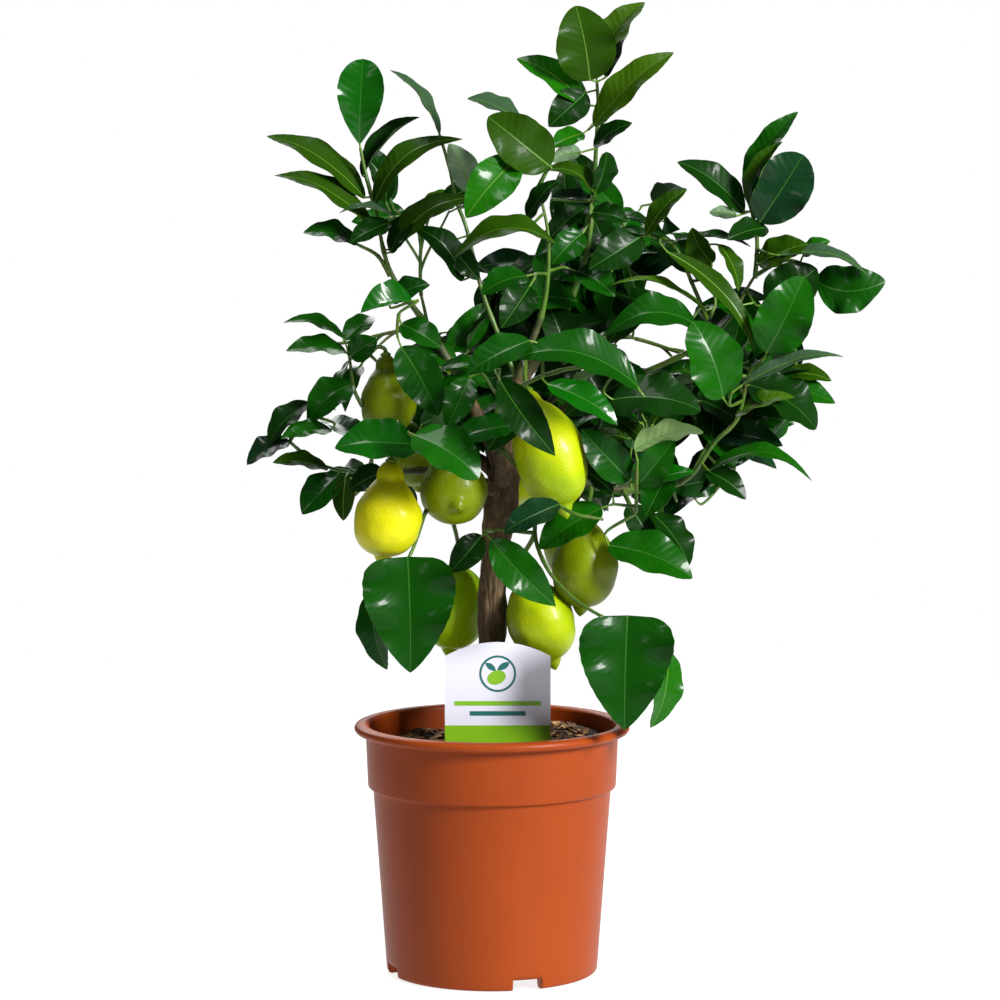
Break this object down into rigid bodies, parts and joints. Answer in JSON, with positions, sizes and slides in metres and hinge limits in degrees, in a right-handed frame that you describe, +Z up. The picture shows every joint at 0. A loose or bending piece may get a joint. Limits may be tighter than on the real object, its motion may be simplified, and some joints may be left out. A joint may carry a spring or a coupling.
{
  "type": "potted lemon tree",
  "caption": "Young grafted lemon tree with leafy sprays and hanging fruit, in a plastic nursery pot with soil and a plain plant label.",
  "frame": {"origin": "middle of the pot's flat underside, on the surface it stands on", "axes": "+Z up along the pot's axis, -Y towards the front of the label, +X to the right of the label"},
  "size_m": [0.5105, 0.3608, 0.7696],
  "materials": {
    "terracotta_plastic": "moulded polypropylene, satin, terracotta orange",
    "compost": "damp bark and coir potting mix",
    "label_plastic": "printed white polypropylene sheet",
    "bark": "fine fissured citrus bark, grey brown",
    "foliage": "glossy citrus leaves, twigs and lemons"
  },
  "bodies": {
    "root": {"bough_back_left": "bark", "bough_back_right": "bark", "bough_centre": "bark", "bough_front": "bark", "bough_leader": "bark", "bough_low_left": "bark", "bough_low_right": "bark", "bough_mid_left": "bark", "bough_upper_left": "bark", "bough_upper_right": "bark", "leaves_back_left_high": "foliage", "leaves_back_left_low": "foliage", "leaves_back_left_middle": "foliage", "leaves_back_right_heart": "foliage", "leaves_back_right_high": "foliage", "leaves_back_right_low": "foliage", "leaves_back_right_middle": "foliage", "leaves_back_right_outer": "foliage", "leaves_centre_front": "foliage", "leaves_centre_left": "foliage", "leaves_centre_low": "foliage", "leaves_front_fruit": "foliage", "leaves_front_left": "foliage", "leaves_front_low": "foliage", "leaves_front_right": "foliage", "leaves_front_top": "foliage", "leaves_leader_inner": "foliage", "leaves_leader_left": "foliage", "leaves_leader_neck": "foliage", "leaves_leader_right": "foliage", "leaves_leader_tip": "foliage", "leaves_low_left_front": "foliage", "leaves_low_left_fruit": "foliage", "leaves_low_left_hanging": "foliage", "leaves_low_left_outer": "foliage", "leaves_low_right_fruit": "foliage", "leaves_low_right_hanging": "foliage", "leaves_low_right_inner": "foliage", "leaves_low_right_middle": "foliage", "leaves_low_right_outer": "foliage", "leaves_low_right_tip": "foliage", "leaves_low_right_under": "foliage", "leaves_mid_left_inner": "foliage", "leaves_mid_left_tip": "foliage", "leaves_upper_left_elbow": "foliage", "leaves_upper_left_inner": "foliage", "leaves_upper_left_low_inner": "foliage", "leaves_upper_left_low_outer": "foliage", "leaves_upper_left_outer": "foliage", "leaves_upper_left_upright": "foliage", "leaves_upper_right_arch": "foliage", "leaves_upper_right_front": "foliage", "leaves_upper_right_left": "foliage", "leaves_upper_right_outer": "foliage", "leaves_upper_right_round": "foliage", "leaves_upper_right_tip": "foliage", "plant_label": "label_plastic", "pot": "terracotta_plastic", "potting_soil": "compost", "trunk": "bark"}
  },
  "joints": []
}
